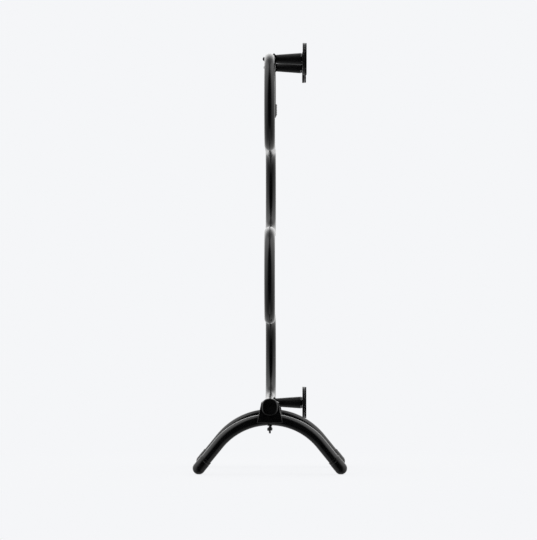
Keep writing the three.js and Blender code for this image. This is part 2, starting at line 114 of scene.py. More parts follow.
TUBE_SIDES = 56
ROUND_SIDES = 72
BEND_STEPS = 60
DROP_STEPS = 28
ARCH_STEPS = 64
RAIL_SPACING = 25 * MM
FOOT_SPACING = 12 * MM
SMOOTH_ANGLE = math.radians(32)

# ------------------------------------------------------------------ materials


class Shader:
    """A short way to add and link shader nodes."""

    def __init__(self, name):
        self.material = bpy.data.materials.new(name)
        self.material.use_nodes = True
        self.tree = self.material.node_tree
        self.tree.nodes.clear()
        self.output = self.node("ShaderNodeOutputMaterial")
        self.surface = self.node("ShaderNodeBsdfPrincipled")
        self.link(self.surface.outputs["BSDF"], self.output.inputs["Surface"])
        self.place = self.node("ShaderNodeTexCoord").outputs["Object"]

    def node(self, kind, **inputs):
        made = self.tree.nodes.new(kind)
        for name, value in inputs.items():
            made.inputs[name].default_value = value
        return made

    def link(self, source, target):
        self.tree.links.new(source, target)

    def noise(self, per_metre, detail=3.0, roughness=0.55):
        made = self.node("ShaderNodeTexNoise", Scale=per_metre, Detail=detail, Roughness=roughness)
        self.link(self.place, made.inputs["Vector"])
        return made.outputs["Fac"]

    def cells(self, per_metre):
        made = self.node("ShaderNodeTexVoronoi", Scale=per_metre)
        made.feature = "SMOOTH_F1"
        self.link(self.place, made.inputs["Vector"])
        return made.outputs["Distance"]

    def spread(self, source, low, high, start=0.3, stop=0.7):
        made = self.node("ShaderNodeMapRange")
        made.inputs["From Min"].default_value = start
        made.inputs["From Max"].default_value = stop
        made.inputs["To Min"].default_value = low
        made.inputs["To Max"].default_value = high
        self.link(source, made.inputs["Value"])
        return made.outputs["Result"]

    def blend_colours(self, source, first, second, start=0.35, stop=0.65):
        made = self.node("ShaderNodeMix")
        made.data_type = "RGBA"
        made.inputs["A"].default_value = (*first, 1)
        made.inputs["B"].default_value = (*second, 1)
        self.link(self.spread(source, 0, 1, start, stop), made.inputs["Factor"])
        return made.outputs["Result"]

    def bump(self, height, strength, depth, under=None):
        made = self.node("ShaderNodeBump", Strength=strength, Distance=depth)
        self.link(height, made.inputs["Height"])
        if under is not None:
            self.link(under, made.inputs["Normal"])
        return made.outputs["Normal"]

    def feed(self, **sockets):
        for name, source in sockets.items():
            self.link(source, self.surface.inputs[name.replace("_", " ")])

    def fix(self, **sockets):
        for name, value in sockets.items():
            self.surface.inputs[name.replace("_", " ")].default_value = value


def black_paint(name, smooth, rough, peel_strength):
    """Powder coat: near-black, with fine orange peel and a faint haze from handling."""
    s = Shader(name)
    haze = s.noise(28, detail=5)
    peel = s.cells(900)
    ripple = s.noise(260, detail=2)
    s.feed(
        Base_Color=s.blend_colours(haze, (0.0018, 0.0018, 0.002), (0.0034, 0.0034, 0.0037)),
        Roughness=s.spread(haze, smooth, rough),
        Normal=s.bump(peel, peel_strength, 0.05 * MM, under=s.bump(ripple, peel_strength, 0.1 * MM)),
    )
    s.fix(IOR=1.5)
    return s.material


def moulded_black():
    """Moulded nylon: satin black with a fine spark-eroded grain."""
    s = Shader("black_plastic")
    grain = s.noise(2200, detail=4, roughness=0.7)
    patch = s.noise(60, detail=4)
    s.feed(
        Base_Color=s.blend_colours(patch, (0.0012, 0.0012, 0.0013), (0.0024, 0.0024, 0.0025)),
        Roughness=s.spread(patch, 0.24, 0.32),
        Normal=s.bump(grain, 0.08, 0.03 * MM),
    )
    s.fix(IOR=1.47)
    return s.material


def black_rubber():
    """Rubber: matte black, slightly dusty, with a soft fine texture."""
    s = Shader("black_rubber")
    dust = s.noise(140, detail=6, roughness=0.65)
    grain = s.noise(1500, detail=3)
    s.feed(
        Base_Color=s.blend_colours(dust, (0.0008, 0.0008, 0.0009), (0.0024, 0.0023, 0.0022)),
        Roughness=s.spread(dust, 0.55, 0.7),
        Normal=s.bump(grain, 0.15, 0.05 * MM),
    )
    s.fix(IOR=1.35, Specular_IOR_Level=0.15)
    return s.material


def steel(name, dark, light, smooth, rough):
    """Plated steel with fine turning marks and a mottled passivated skin."""
    s = Shader(name)
    mottle = s.noise(420, detail=5)
    marks = s.noise(3800, detail=2)
    s.feed(
        Base_Color=s.blend_colours(mottle, dark, light),
        Roughness=s.spread(mottle, smooth, rough),
        Normal=s.bump(marks, 0.12, 0.03 * MM),
    )
    s.fix(Metallic=1.0)
    return s.material


MATERIALS = {
    "gloss_black_paint": black_paint("gloss_black_paint", 0.17, 0.22, 0.03),
    "satin_black_paint": black_paint("satin_black_paint", 0.38, 0.44, 0.04),
    "black_plastic": moulded_black(),
    "black_rubber": black_rubber(),
    "dark_steel": steel("dark_steel", (0.02, 0.02, 0.022), (0.045, 0.045, 0.048), 0.3, 0.42),
    "bright_steel": steel("bright_steel", (0.36, 0.36, 0.37), (0.56, 0.56, 0.57), 0.22, 0.38),
}
NODE_SLOTS = {row["node"]: row["material_slot"] for row in frame["record"]["subparts"]}

# ------------------------------------------------------------------ mesh helpers


def body_of_node(node):
    """The CAD body that holds a node."""
    bodies = frame["record"]["behaviour"]["bodies"]
    return next(body for body, members in bodies.items() if node in members)


def object_from(name, vertices, faces):
    mesh = bpy.data.meshes.new(name)
    mesh.from_pydata([tuple(v) for v in vertices], [], faces)
    work = bmesh.new()
    work.from_mesh(mesh)
    bmesh.ops.remove_doubles(work, verts=work.verts, dist=1e-7)
    bmesh.ops.recalc_face_normals(work, faces=work.faces)
    work.to_mesh(mesh)
    work.free()
    made = bpy.data.objects.new(name, mesh)
    bpy.context.scene.collection.objects.link(made)
    return made


def joining_faces(rings, sides):
    """The four-sided faces that join each ring of vertices to the next."""
    faces = []
    for ring in range(rings - 1):
        for side in range(sides):
            a = ring * sides + side
            b = ring * sides + (side + 1) % sides
            faces.append((a, b, b + sides, a + sides))
    return faces


def shade(piece):
    piece.data.shade_smooth()
    piece.data.set_sharp_from_angle(angle=SMOOTH_ANGLE)


def stand_for(piece, node):
    """Gives a finished piece its node's body, slot and finish."""
    shade(piece)
    piece.data.materials.clear()
    piece.data.materials.append(MATERIALS[NODE_SLOTS[node]])
    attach(piece, body_of_node(node))
    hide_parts(node)
    return piece


def apply_modifiers(piece):
    bpy.context.view_layer.update()
    graph = bpy.context.evaluated_depsgraph_get()
    done = bpy.data.meshes.new_from_object(piece.evaluated_get(graph))
    piece.modifiers.clear()
    piece.data = done
    return piece


def bevelled(piece, width, segments=3):
    modifier = piece.modifiers.new("edges", "BEVEL")
    modifier.width = width
    modifier.segments = segments
    modifier.limit_method = "ANGLE"
    modifier.angle_limit = math.radians(30)
    return apply_modifiers(piece)


def combine(piece, tool, operation):
    """Joins or cuts piece with tool, and throws the tool away."""
    modifier = piece.modifiers.new("cut", "BOOLEAN")
    modifier.operation = operation
    modifier.solver = "EXACT"
    modifier.object = tool
    apply_modifiers(piece)
    bpy.data.objects.remove(tool)
    return piece


AXES = {
    "x": (Vector((0, 1, 0)), Vector((0, 0, 1)), Vector((1, 0, 0))),
    "y": (Vector((0, 0, 1)), Vector((1, 0, 0)), Vector((0, 1, 0))),
    "z": (Vector((1, 0, 0)), Vector((0, 1, 0)), Vector((0, 0, 1))),
}


def loft(name, rings, origin, basis, sides=ROUND_SIDES):
    """A closed skin through rings of (radius, height); a radius may be a function of the angle."""
    across, up, along = basis
    origin = Vector(origin)
    vertices = []
    for radius, height in rings:
        for side in range(sides):
            angle = 2 * math.pi * side / sides
            reach = radius(angle) if callable(radius) else radius
            out = across * math.cos(angle) + up * math.sin(angle)
            vertices.append(origin + out * reach + along * height)
    faces = joining_faces(len(rings), sides)
    closed = rings[0] == rings[-1]
    for ring, fold in ((0, 1), (len(rings) - 1, -1)):
        if closed or rings[ring][0] == 0:
            continue
        hub = len(vertices)
        vertices.append(origin + along * rings[ring][1])
        for side in range(sides):
            a = ring * sides + side
            b = ring * sides + (side + 1) % sides
            faces.append((hub, b, a)[::fold])
    return object_from(name, vertices, [f for f in faces if len(set(f)) == len(f)])


def rounded(corners, steps=5):
    """A profile of (radius, height) corners; a third value rounds its corner by that much."""
    points = []
    last = len(corners) - 1
    for index, corner in enumerate(corners):
        here = Vector(corner[:2])
        fillet = corner[2] if len(corner) > 2 else 0
        if not fillet or index in (0, last):
            points.append(tuple(here))
            continue
        before = Vector(corners[index - 1][:2]) - here
        after = Vector(corners[index + 1][:2]) - here
        half = before.angle(after) / 2
        setback = min(fillet / math.tan(half), 0.48 * before.length, 0.48 * after.length)
        start = here + before.normalized() * setback
        end = here + after.normalized() * setback
        for step in range(steps + 1):
            part = step / steps
            points.append(tuple(start.lerp(here, part).lerp(here.lerp(end, part), part)))
    return points


def turned(name, corners, origin, axis, sides=ROUND_SIDES):
    """A body of revolution about an axis through origin."""
    basis = AXES[axis] if isinstance(axis, str) else axis
    return loft(name, rounded(corners), origin, basis, sides)


def arc(centre, radius, start, end, steps):
    """Stations (across, up, heading) round a bend in a plane."""
    side = math.copysign(1, end - start)
    stations = []
    for step in range(steps + 1):
        angle = start + (end - start) * step / steps
        across = centre[0] + radius * math.cos(angle)
        up = centre[1] + radius * math.sin(angle)
        stations.append((across, up, angle + side * math.pi / 2))
    return stations


def with_straights(stations, spacing):
    """Fills long straight stretches between stations with evenly spaced ones."""
    filled = [stations[0]]
    for here, following in zip(stations, stations[1:]):
        reach = math.dist(here[:2], following[:2])
        count = max(1, round(reach / spacing)) if reach > 1.5 * spacing else 1
        for step in range(1, count + 1):
            part = step / count
            across = here[0] + (following[0] - here[0]) * part
            up = here[1] + (following[1] - here[1]) * part
            filled.append((across, up, following[2] if part == 1 else here[2]))
    return filled


def swept_tube(name, stations, radius, place, sides=TUBE_SIDES):
    """A round bar along stations; place(across, up, aside) maps the bend's plane to the frame."""
    vertices = []
    for across, up, heading in stations:
        for side in range(sides):
            angle = 2 * math.pi * side / sides
            lift = radius * math.cos(angle)
            aside = radius * math.sin(angle)
            vertices.append(
                place(across - lift * math.sin(heading), up + lift * math.cos(heading), aside)
            )
    faces = joining_faces(len(stations), sides)
    end = (len(stations) - 1) * sides
    faces.append(tuple(range(sides)))
    faces.append(tuple(range(end, end + sides)))
    return object_from(name, vertices, faces)


def plate(name, outline, low_y, high_y):
    """A closed plate between two Y stations, from (x, z) points round its outline."""
    count = len(outline)
    vertices = [(x, low_y, z) for x, z in outline] + [(x, high_y, z) for x, z in outline]
    faces = [tuple(range(count)), tuple(range(2 * count - 1, count - 1, -1))]
    for corner in range(count):
        after = (corner + 1) % count
        faces.append((corner, after, after + count, corner + count))
    return object_from(name, vertices, faces)


def middle(node):
    """The middle of a node's box."""
    low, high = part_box(node)
    return (low + high) / 2


def size(node):
    """The extents of a node's box."""
    low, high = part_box(node)
    return high - low


# ------------------------------------------------------------------ rail

rail_low, rail_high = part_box("rail_tube")
RAIL_RADIUS = size("rail_tube").x / 2
LOWEST_RUN = rail_low.z + RAIL_RADIUS
RUN_PITCH = (size("rail_tube").z - 2 * RAIL_RADIUS) / (RUN_COUNT - 1)
BEND_RADIUS = RUN_PITCH / 2
BEND_CENTRE_Y = rail_high.y - RAIL_RADIUS - BEND_RADIUS


def run_height(run):
    """The height of a bar's axis, counted from the top."""
    return LOWEST_RUN + (RUN_COUNT - run) * RUN_PITCH


def rail():
    """The tube, from its plugged near end to the end of the downward bend on the far side."""
    saddle_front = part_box("near_saddle_bracket")[0].y
    drop_y = middle("upper_end_cap").y
    drop_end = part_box("upper_end_cap")[0].z + UPPER_CAP_FLOOR + FACE_GAP
    stations = [(saddle_front - FACE_GAP, LOWEST_RUN, 0.0)]
    for run in range(RUN_COUNT, 1, -1):
        side = 1 if (RUN_COUNT - run) % 2 == 0 else -1
        centre = (side * BEND_CENTRE_Y, run_height(run) + BEND_RADIUS)
        start = -math.pi / 2
        stations += arc(centre, BEND_RADIUS, start, start + side * math.pi, BEND_STEPS)
    drop = (drop_y - DROP_BEND_RADIUS, run_height(1) - DROP_BEND_RADIUS)
    stations += arc(drop, DROP_BEND_RADIUS, math.pi / 2, 0, DROP_STEPS)
    stations.append((drop_y, drop_end, -math.pi / 2))
    stations = with_straights(stations, RAIL_SPACING)
    tube = swept_tube("rail_tube_smooth", stations, RAIL_RADIUS, lambda y, z, x: (x, y, z))
    return stand_for(tube, "rail_tube")


def upper_end_cap():
    """A moulded cap with a narrowed nose and ribs round its sleeve."""
    low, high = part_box("upper_end_cap")
    radius = size("upper_end_cap").x / 2
    groove_radius = radius - UPPER_CAP_GROOVE
    height = high.z - low.z
    rib_pitch = (height - UPPER_CAP_FLOOR) / UPPER_CAP_RIBS
    crest_edge = 0.25 * MM
    groove_edge = 0.2 * MM
    corners = [
        (0, 0),
        (radius - UPPER_CAP_NOSE, 0, 1.6 * MM),
        (radius, UPPER_CAP_FLOOR, 1.5 * MM),
    ]
    for rib in range(UPPER_CAP_RIBS):
        foot = UPPER_CAP_FLOOR + rib * rib_pitch
        corners.append((radius, foot + 0.5 * rib_pitch, crest_edge))
        corners.append((groove_radius, foot + 0.6 * rib_pitch, groove_edge))
        corners.append((groove_radius, foot + 0.88 * rib_pitch, groove_edge))
        if rib < UPPER_CAP_RIBS - 1:
            corners.append((radius, foot + 0.98 * rib_pitch, crest_edge))
    bore = RAIL_RADIUS + FACE_GAP
    corners.append((groove_radius, height, 0.4 * MM))
    corners.append((bore, height, 0.3 * MM))
    corners.append((bore, UPPER_CAP_FLOOR))
    corners.append((0, UPPER_CAP_FLOOR))
    centre = middle("upper_end_cap")
    cap = turned("upper_end_cap_ribbed", corners, (centre.x, centre.y, low.z), "z")
    return stand_for(cap, "upper_end_cap")


def square_round_point(half_width, half_height, angle):
    """The (x, z) point of a rounded rectangle's outline at an angle, about its own middle."""
    cos = math.cos(angle)
    sin = math.sin(angle)
    power = 2 / PLUG_SQUARENESS
    across = math.copysign(half_width * abs(cos) ** power, cos)
    return across, math.copysign(half_height * abs(sin) ** power, sin)


def even_angles(half_width, half_height, start, end, count):
    """Angles that space a rounded rectangle's points evenly along its outline."""
    fine = 40 * count
    angles = [start + (end - start) * step / fine for step in range(fine + 1)]
    points = [square_round_point(half_width, half_height, angle) for angle in angles]
    lengths = [0.0]
    for here, following in zip(points, points[1:]):
        lengths.append(lengths[-1] + math.dist(here, following))
    chosen = []
    step = 0
    for target in range(count + 1):
        wanted = lengths[-1] * target / count
        while step < fine and lengths[step] < wanted:
            step += 1
        chosen.append(angles[step])
    return chosen


def lower_end_plug():
    """A rounded square head with a soft edge and a faint dish, and a spigot in the tube."""
    low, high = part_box("lower_end_plug")
    half_width = (high.x - low.x) / 2
    half_height = (high.z - low.z) / 2
    centre = middle("lower_end_plug")
    sides = 96
    angles = even_angles(half_width, half_height, 0, 2 * math.pi, sides)[:-1]

    insets = [(share * half_width, depth * PLUG_DISH) for share, depth in ((0.55, 1), (0.4, 0.8))]
    insets.append((PLUG_EDGE + 1 * MM, 0.15 * PLUG_DISH))
    edge_steps = 9
    for step in range(edge_steps + 1):
        angle = math.pi / 2 * step / edge_steps
        insets.append((PLUG_EDGE * (1 - math.sin(angle)), PLUG_EDGE * (1 - math.cos(angle))))
    insets += [(0, PLUG_THICKNESS - 0.6 * MM), (0.6 * MM, PLUG_THICKNESS)]
    vertices = []
    for inset, depth in insets:
        for angle in angles:
            x, z = square_round_point(half_width - inset, half_height - inset, angle)
            vertices.append((centre.x + x, low.y + depth, centre.z + z))

    spigot = RAIL_RADIUS - RAIL_WALL - FACE_GAP
    tip = 1.2 * MM
    length = high.y - low.y
    for radius, depth in ((spigot, PLUG_THICKNESS), (spigot, length - tip), (spigot - tip, length)):
        for angle in angles:
            x = centre.x + radius * math.cos(angle)
            z = LOWEST_RUN + radius * math.sin(angle)
            vertices.append((x, low.y + depth, z))

    rings = len(vertices) // sides
    faces = [tuple(range(sides)), tuple(range((rings - 1) * sides, rings * sides))]
    faces += joining_faces(rings, sides)
    return stand_for(object_from("lower_end_plug_moulded", vertices, faces), "lower_end_plug")


# ------------------------------------------------------------------ feet

FOOT_RADIUS = size("near_foot_tube").y / 2
ARCH_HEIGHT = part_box("near_foot_tube")[1].z - FOOT_RADIUS
ARCH_CENTRE = (0.0, ARCH_HEIGHT - ARCH_RADIUS)
CAP_RADIUS = size("near_left_foot_cap").y / 2
CAP_CENTRE_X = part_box("near_right_foot_cap")[1].x - CAP_RADIUS
CAP_FLAT_DEPTH = 0.6 * MM
CAP_CENTRE_Z = CAP_RADIUS - CAP_FLAT_DEPTH
CAP_SLEEVE = 27 * MM
CAP_STOP = 3.3 * MM
CAP_MOUTH = 1.2 * MM
CAP_BEAD_GROOVE = 0.5 * MM
CAP_ROUND_STEPS = 20
LEG_AHEAD = Vector((math.cos(ARCH_HALF_ANGLE), 0, -math.sin(ARCH_HALF_ANGLE)))


def arch_stations(half_angle, steps):
    """Stations along a foot's arch, evenly about its highest point."""
    top = math.pi / 2
    return arc(ARCH_CENTRE, ARCH_RADIUS, top + half_angle, top - half_angle, steps)


def foot_tube(place):
    """An arch with straight legs that end just short of the caps' rounded ends."""
    y = middle(f"{place}_foot_tube").y
    end_x = CAP_CENTRE_X - CAP_STOP * LEG_AHEAD.x
    end_z = CAP_CENTRE_Z - CAP_STOP * LEG_AHEAD.z
    stations = [(-end_x, end_z, ARCH_HALF_ANGLE)]
    stations += arch_stations(ARCH_HALF_ANGLE, ARCH_STEPS)
    stations.append((end_x, end_z, -ARCH_HALF_ANGLE))
    stations = with_straights(stations, FOOT_SPACING)
    tube = swept_tube(
        f"{place}_foot_tube_smooth", stations, FOOT_RADIUS, lambda x, z, aside: (x, y + aside, z)
    )
    return stand_for(tube, f"{place}_foot_tube")


def foot_cap(place, side):
    """A sleeve with a grooved mouth and a round end, cut flat where it stands on the floor."""
    name = f"{place}_{'right' if side > 0 else 'left'}_foot_cap"
    y = middle(name).y
    along = Vector((side * LEG_AHEAD.x, 0, LEG_AHEAD.z))
    across = Vector((0, 1, 0))
    basis = (across, along.cross(across), along)
    groove_radius = CAP_RADIUS - CAP_BEAD_GROOVE
    groove_edge = 0.4 * MM
    corners = [
        (FOOT_RADIUS, -CAP_SLEEVE + CAP_MOUTH),
        (FOOT_RADIUS + 0.25 * MM, -CAP_SLEEVE, 0.2 * MM),
        (CAP_RADIUS, -CAP_SLEEVE, 0.7 * MM),
        (CAP_RADIUS, -CAP_SLEEVE + 5 * MM, groove_edge),
        (groove_radius, -CAP_SLEEVE + 5.6 * MM, groove_edge),
        (groove_radius, -CAP_SLEEVE + 7 * MM, groove_edge),
        (CAP_RADIUS, -CAP_SLEEVE + 7.6 * MM, groove_edge),
    ]
    profile = rounded(corners + [(CAP_RADIUS, 0)])
    for step in range(1, CAP_ROUND_STEPS + 1):
        angle = math.pi / 2 * step / CAP_ROUND_STEPS
        profile.append((CAP_RADIUS * math.cos(angle), CAP_RADIUS * math.sin(angle)))
    profile[-1] = (0, CAP_RADIUS)
    profile.insert(0, (0, -CAP_SLEEVE + CAP_MOUTH))
    cap = loft(f"{name}_moulded", profile, (side * CAP_CENTRE_X, y, CAP_CENTRE_Z), basis)
    work = bmesh.new()
    work.from_mesh(cap.data)
    everything = work.verts[:] + work.edges[:] + work.faces[:]
    cut = bmesh.ops.bisect_plane(
        work, geom=everything, plane_co=(0, 0, 0), plane_no=(0, 0, -1), clear_outer=True
    )
    rim = [g for g in cut["geom_cut"] if isinstance(g, bmesh.types.BMEdge)]
    bmesh.ops.contextual_create(work, geom=rim)
    work.to_mesh(cap.data)
    work.free()
    return stand_for(cap, name)


def saddle_bracket(place):
    """A tapered block, hollowed above for the rail and below for the foot's arch."""
    name = f"{place}_saddle_bracket"
    low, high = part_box(name)
    half_base = (high.x - low.x) / 2
    flare = (half_base - SADDLE_HALF_WIDTH) / (LOWEST_RUN - low.z)
    half_top = SADDLE_HALF_WIDTH - flare * (high.z - LOWEST_RUN)
    outline = [
        (-half_base, low.z),
        (half_base, low.z),
        (half_top, high.z),
        (-half_top, high.z),
    ]
    block = plate(f"{name}_moulded", outline, low.y, high.y)
    bevelled(block, SADDLE_EDGE, segments=4)

    reach = size(name).y
    bore_radius = RAIL_RADIUS + BORE_GAP
    bore_corners = [(0, -reach), (bore_radius, -reach), (bore_radius, reach), (0, reach)]
    bore = turned("bore", bore_corners, (0, middle(name).y, LOWEST_RUN), "y")
    combine(block, bore, "DIFFERENCE")
    y = middle(f"{place}_foot_tube").y
    groove = swept_tube(
        "groove",
        arch_stations(ARCH_HALF_ANGLE / 2, 24),
        FOOT_RADIUS + BORE_GAP,
        lambda x, z, aside: (x, y + aside, z),
    )
    combine(block, groove, "DIFFERENCE")
    stand_for(block, name)
    weighted = block.modifiers.new("flat_faces", "WEIGHTED_NORMAL")
    weighted.keep_sharp = True
    apply_modifiers(block)
    return block


def threaded(name, radius, length, origin):
    """A rod along Z with a real helical thread and chamfered ends."""
    sides = 28
    rows = round(length / THREAD_PITCH * THREAD_ROWS_PER_TURN)
    vertices = []
    for row in range(rows + 1):
        height = length * row / rows
        end = min(height, length - height)
        for side in range(sides):
            turn = side / sides
            phase = (height / THREAD_PITCH - turn) % 1
            reach = radius - THREAD_DEPTH * abs(2 * phase - 1)
            if end < THREAD_CHAMFER:
                reach = min(reach, radius - (THREAD_CHAMFER - end) * 0.8)
            angle = 2 * math.pi * turn
            out = Vector((reach * math.cos(angle), reach * math.sin(angle), height))
            vertices.append(Vector(origin) + out)
    faces = joining_faces(rows + 1, sides)
    faces.append(tuple(range(sides)))
    faces.append(tuple(range(rows * sides, (rows + 1) * sides)))
    return object_from(name, vertices, faces)


def stud(place):
    """The threaded rod that clamps the rail and its bracket to a foot."""
    name = f"{place}_stud"
    low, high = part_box(name)
    centre = middle(name)
    foot = (centre.x, centre.y, low.z)
    rod = threaded(f"{name}_threaded", size(name).x / 2, high.z - low.z, foot)
    return stand_for(rod, name)


def stud_washer(place):
    """A washer with chamfered rims between the foot and the wing nut."""
    name = f"{place}_stud_washer"
    low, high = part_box(name)
    centre = middle(name)
    outer = size(name).x / 2
    bore = size(f"{place}_stud").x / 2 + FACE_GAP
    thick = high.z - low.z
    edge = 0.25 * MM
    corners = [(bore, thick / 2), (bore, 0, edge), (outer, 0, edge), (outer, thick, edge)]
    corners += [(bore, thick, edge), (bore, thick / 2)]
    washer = turned(f"{name}_chamfered", corners, (centre.x, centre.y, low.z), "z")
    return stand_for(washer, name)


def wing_outline(low_z, high_z):
    """One wing's outline from its root in the hub to its round lobe."""
    root = 1 * MM
    outline = [(root, high_z - WING_HUB_HEIGHT + WING_INSET), (root, high_z - WING_INSET)]
    steps = 16
    for step in range(steps + 1):
        angle = math.pi / 2 - math.pi * step / steps
        x = WING_LOBE_REACH + WING_LOBE_RADIUS * math.cos(angle)
        z = low_z + WING_LOBE_RADIUS + WING_LOBE_RADIUS * math.sin(angle)
        outline.append((x, z))
    return outline


def wing_nut(place):
    """A cast nut: a waisted hub with two lobed wings, softened where they meet."""
    name = f"{place}_wing_nut"
    low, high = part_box(name)
    centre = middle(name)
    hub_foot = high.z - WING_HUB_HEIGHT
    corners = [
        (0, hub_foot),
        (WING_HUB_FOOT_RADIUS, hub_foot, 0.5 * MM),
        (WING_HUB_WAIST_RADIUS, high.z - WING_INSET, 0.3 * MM),
        (WING_HUB_TOP_RADIUS, high.z, 0.3 * MM),
        (0, high.z),
    ]
    nut = turned(f"{name}_cast", corners, (0, 0, 0), "z", sides=48)
    for side in (-1, 1):
        points = [(side * x, z) for x, z in wing_outline(low.z, high.z)]
        wing = plate("wing", points, -WING_HALF_THICKNESS, WING_HALF_THICKNESS)
        bevelled(wing, 0.7 * MM, segments=3)
        combine(nut, wing, "UNION")
    remesh = nut.modifiers.new("cast", "REMESH")
    remesh.mode = "VOXEL"
    remesh.voxel_size = WING_CAST_DETAIL
    apply_modifiers(nut)
    soften = nut.modifiers.new("soften", "SMOOTH")
    soften.factor = 0.5
    soften.iterations = 4
    apply_modifiers(nut)
    reach = high.z - low.z
    bore_radius = size(f"{place}_stud").x / 2 + 0.1 * MM
    bore_corners = [(0, low.z - reach), (bore_radius, low.z - reach)]
    bore_corners += [(bore_radius, high.z + reach), (0, high.z + reach)]
    combine(nut, turned("bore", bore_corners, (0, 0, 0), "z", sides=40), "DIFFERENCE")
    nut.rotation_euler.z = WING_REST_ANGLE + (0 if place == "near" else math.pi)
    nut.location = (centre.x, centre.y, 0)
    bpy.context.view_layer.update()
    nut.data.transform(nut.matrix_world)
    nut.matrix_world.identity()
    return stand_for(nut, name)


# ------------------------------------------------------------------ stand-offs


def saddle_gasket(place):
    """A curved strip between the tube and a cone's hollowed end."""
    name = f"{place}_saddle_gasket"
    low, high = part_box(name)
    axis_z = middle(name).z
    inner = RAIL_RADIUS + FACE_GAP
    outer = high.x
    half = GASKET_HALF_ANGLE
    steps = 36
    outline = []
    for step in range(steps + 1):
        angle = -half + 2 * half * step / steps
        outline.append((outer * math.cos(angle), axis_z + outer * math.sin(angle)))
    for step in range(steps + 1):
        angle = half - 2 * half * step / steps
        outline.append((inner * math.cos(angle), axis_z + inner * math.sin(angle)))
    gasket = plate(f"{name}_moulded", outline, low.y, high.y)
    bevelled(gasket, 0.5 * MM, segments=3)
    return stand_for(gasket, name)


def cone(place):
    """A tapered post whose rail end is hollowed to sit on the tube's gasket."""
    name = f"{place}_cone"
    centre = middle(name)
    far_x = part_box(name)[1].x
    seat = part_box(f"{place}_saddle_gasket")[1].x + FACE_GAP
    wall_radius = size(name).z / 2
    length = far_x - seat
    rings = 26
    sides = ROUND_SIDES
    profile = []
    for ring in range(rings):
        part = ring / rings
        profile.append((CONE_RAIL_RADIUS + (wall_radius - CONE_RAIL_RADIUS) * part, part))
    profile.append((wall_radius - 0.05 * MM, 1 - CONE_EDGE / length))
    profile.append((wall_radius - 0.3 * CONE_EDGE, 1 - 0.3 * CONE_EDGE / length))
    profile.append((wall_radius - CONE_EDGE, 1.0))
    vertices = []
    for radius, part in profile:
        for side in range(sides):
            angle = 2 * math.pi * side / sides
            y = radius * math.cos(angle)
            z = radius * math.sin(angle)
            start = math.sqrt(seat**2 - z**2)
            vertices.append((start + (far_x - start) * part, centre.y + y, centre.z + z))
    faces = joining_faces(len(profile), sides)
    hub = len(vertices)
    vertices.append((seat, centre.y, centre.z))
    for side in range(sides):
        faces.append((side, (side + 1) % sides, hub))
    end = (len(profile) - 1) * sides
    faces.append(tuple(range(end, end + sides)))
    return stand_for(object_from(f"{name}_turned", vertices, faces), name)


def through_screw(place):
    """A dome-headed screw with a hexagon socket; its shank runs through the tube into the cone."""
    name = f"{place}_through_screw"
    low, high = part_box(name)
    centre = middle(name)
    head_radius = size(name).z / 2
    length = high.x - low.x

    def hexagon(angle):
        sector = math.pi / 3
        return SOCKET_HALF_WIDTH / math.cos((angle + sector / 2) % sector - sector / 2)

    socket_rim = (SOCKET_HALF_WIDTH + 0.65 * MM, 0.06 * MM)
    rings = [(0, SOCKET_DEPTH), (hexagon, 0.9 * SOCKET_DEPTH), (hexagon, 0.35 * MM), socket_rim]
    steps = 14
    for step in range(3, steps + 1):
        angle = math.pi / 2 * step / steps
        height = SCREW_HEAD_HEIGHT * (1 - math.cos(angle))
        rings.append((head_radius * math.sin(angle), height))
    rings += [(SCREW_SHANK_RADIUS, SCREW_HEAD_HEIGHT), (SCREW_SHANK_RADIUS, length), (0, length)]
    screw = loft(f"{name}_domed", rings, (low.x, centre.y, centre.z), AXES["x"], sides=48)
    return stand_for(screw, name)


def disc(place, part, corners_for, suffix):
    """A round piece on a stand-off's axis, its profile given from its own box."""
    name = f"{place}_{part}"
    low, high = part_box(name)
    centre = middle(name)
    corners = corners_for(size(name).z / 2, high.x - low.x)
    piece = turned(f"{name}_{suffix}", corners, (low.x, centre.y, centre.z), "x", sides=96)
    return stand_for(piece, name)


def collar_corners(radius, thick):
    """A flat ring with soft rims."""
    bore = COLLAR_BORE_RADIUS
    edge = 0.4 * MM
    bore_edge = 0.2 * MM
    return [
        (bore, thick / 2),
        (bore, 0, bore_edge),
        (radius, 0, edge),
        (radius, thick, edge),
        (bore, thick, bore_edge),
        (bore, thick / 2),
    ]


def flange_corners(radius, length):
    """A round plate with a spigot into the cone."""
    spigot = FLANGE_SPIGOT_RADIUS
    face = length - FLANGE_THICKNESS
    return [
        (0, 0),
        (spigot, 0, 0.6 * MM),
        (spigot, face, 0.3 * MM),
        (radius, face, 0.5 * MM),
        (radius, length, 0.3 * MM),
        (0, length),
    ]


def pad_corners(radius, thick):
    """A plain face to the flange, and three shallow rings in the face that meets the wall."""
    edge = radius - PAD_RIM_INSET
    corners = [(0, 0), (edge, 0, 0.3 * MM), (edge, thick, 0.4 * MM)]
    for share in PAD_RING_SHARES:
        for side, depth in ((1.2, 0), (0.7, PAD_RING_DEPTH), (-0.7, PAD_RING_DEPTH), (-1.2, 0)):
            corners.append((share * edge + side * MM, thick - depth, 0.15 * MM))
    corners.append((0, thick))
    return corners


# ------------------------------------------------------------------ assemble the object

rail()
upper_end_cap()
lower_end_plug()
for foot in FOOT_PLACES:
    foot_tube(foot)
    foot_cap(foot, -1)
    foot_cap(foot, 1)
    saddle_bracket(foot)
    stud(foot)
    stud_washer(foot)
    wing_nut(foot)
for standoff in STANDOFFS:
    saddle_gasket(standoff)
    cone(standoff)
    through_screw(standoff)
    disc(standoff, "collar", collar_corners, "chamfered")
    disc(standoff, "flange_plate", flange_corners, "turned")
    disc(standoff, "wall_pad", pad_corners, "moulded")

